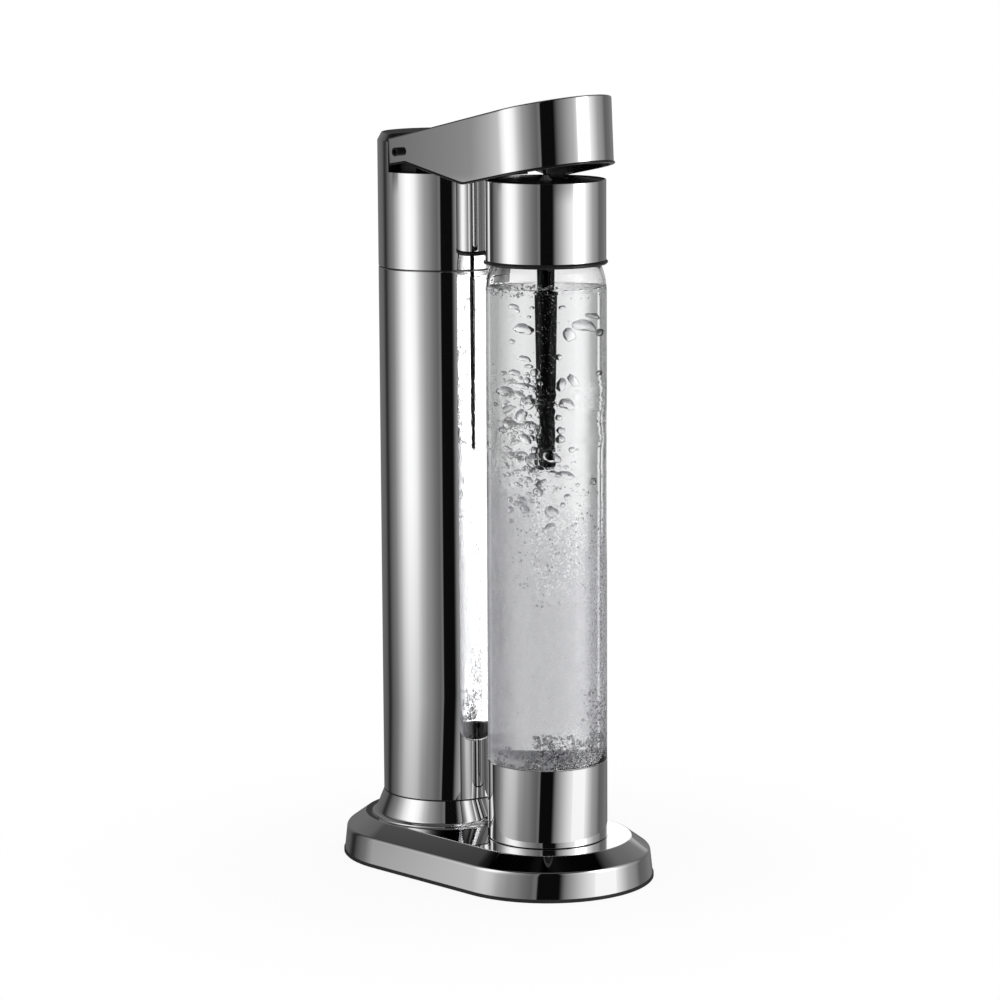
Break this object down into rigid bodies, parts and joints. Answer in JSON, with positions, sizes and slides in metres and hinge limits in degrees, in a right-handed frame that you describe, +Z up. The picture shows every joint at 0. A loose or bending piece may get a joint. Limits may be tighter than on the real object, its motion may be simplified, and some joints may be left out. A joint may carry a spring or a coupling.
{
  "type": "sparkling water maker",
  "caption": "Slim sparkling water maker: polished column and bottle on an oval base, with a hooded lever that presses gas into the bottle's head.",
  "frame": {"origin": "middle of the base's underside, on the surface that it stands on", "axes": "+Z up, -Y to the front (bottle side), +X to the right seen from the front"},
  "size_m": [0.119, 0.2014, 0.4382],
  "materials": {
    "polished_steel": "mirror polished",
    "black_plastic": "satin",
    "rubber": "matte",
    "ballast": "zinc plated, dull",
    "cylinder_paint": "satin grey",
    "brass": "turned",
    "plain_steel": "satin",
    "clear_bottle": "clear, glossy",
    "black_metal": "black oxide"
  },
  "bodies": {
    "stand": {"foot_ring": "rubber", "base_cover": "polished_steel", "ballast_plate": "ballast", "base_screws": "plain_steel", "bottle_pad": "rubber", "column_collar": "polished_steel", "column_tube": "polished_steel", "seam_ring": "black_plastic", "top_housing": "polished_steel", "inner_frame": "black_plastic", "co2_cylinder": "cylinder_paint", "cylinder_valve": "brass", "valve_gasket": "rubber", "valve_block": "brass", "block_screws": "plain_steel", "outlet_union": "brass", "hinge_bracket": "black_plastic", "bracket_screws": "plain_steel", "hinge_bushes": "brass", "rocker_pin": "plain_steel", "return_spring": "plain_steel"},
    "hatch": {"bottom_hatch": "black_plastic"},
    "lever": {"lever_shell": "polished_steel", "lever_trim": "black_plastic", "lever_liner": "black_plastic", "lever_plate": "black_plastic", "lever_rib": "black_plastic", "lever_cam": "plain_steel", "cam_screws": "plain_steel", "hinge_pin": "black_metal", "gas_coupler": "black_plastic", "gas_hose": "rubber"},
    "rocker": {"rocker": "plain_steel"},
    "valve_pin": {"valve_pin": "plain_steel"},
    "bottle": {"bottle_body": "clear_bottle", "bottle_cup": "polished_steel", "cup_floor": "black_plastic"},
    "head": {"head_sleeve": "polished_steel", "head_cap": "black_plastic", "head_core": "black_plastic", "head_ring": "black_plastic", "neck_gasket": "rubber", "nozzle_tube": "black_plastic", "nozzle_tip": "black_plastic", "relief_valve": "brass", "plunger_spring": "plain_steel"},
    "plunger": {"inlet_plunger": "plain_steel"}
  },
  "joints": [
    {"name": "lever_press", "type": "hinge", "parent": "stand", "child": "lever", "pos_m": [0, 0.0373, 0.4042], "axis": [1, 0, 0], "range_deg": [0, 6], "stiffness_Nm_per_rad": 2, "springref_deg": -14.32, "deforming": ["return_spring", "gas_hose"]},
    {"name": "rocker_turn", "type": "hinge", "parent": "stand", "child": "rocker", "pos_m": [0, 0.0632, 0.3813], "axis": [1, 0, 0], "range_deg": [0, 3]},
    {"name": "valve_push", "type": "slide", "parent": "stand", "child": "valve_pin", "axis": [0, 0, -1], "range_m": [0, 0.0012]},
    {"name": "bottle_out", "type": "slide", "parent": "stand", "child": "bottle", "axis": [0, -1, 0], "range_m": [0, 0.12]},
    {"name": "head_twist", "type": "hinge", "parent": "bottle", "child": "head", "pos_m": [0, -0.0412, 0.36], "axis": [0, 0, 1], "range_deg": [0, 90]},
    {"name": "inlet_push", "type": "slide", "parent": "head", "child": "plunger", "axis": [0, 0, -1], "range_m": [0, 0.0084], "deforming": ["plunger_spring"]},
    {"name": "hatch_twist", "type": "hinge", "parent": "stand", "child": "hatch", "pos_m": [0, 0.0412, 0.003], "axis": [0, 0, 1], "range_deg": [0, 45]}
  ],
  "couplings": [
    {"joint": "rocker_turn", "follows": "lever_press", "ratio": 0.44776},
    {"joint": "valve_push", "follows": "lever_press", "m_per_rad": 0.009851},
    {"joint": "inlet_push", "follows": "lever_press", "m_per_rad": 0.0788}
  ]
}
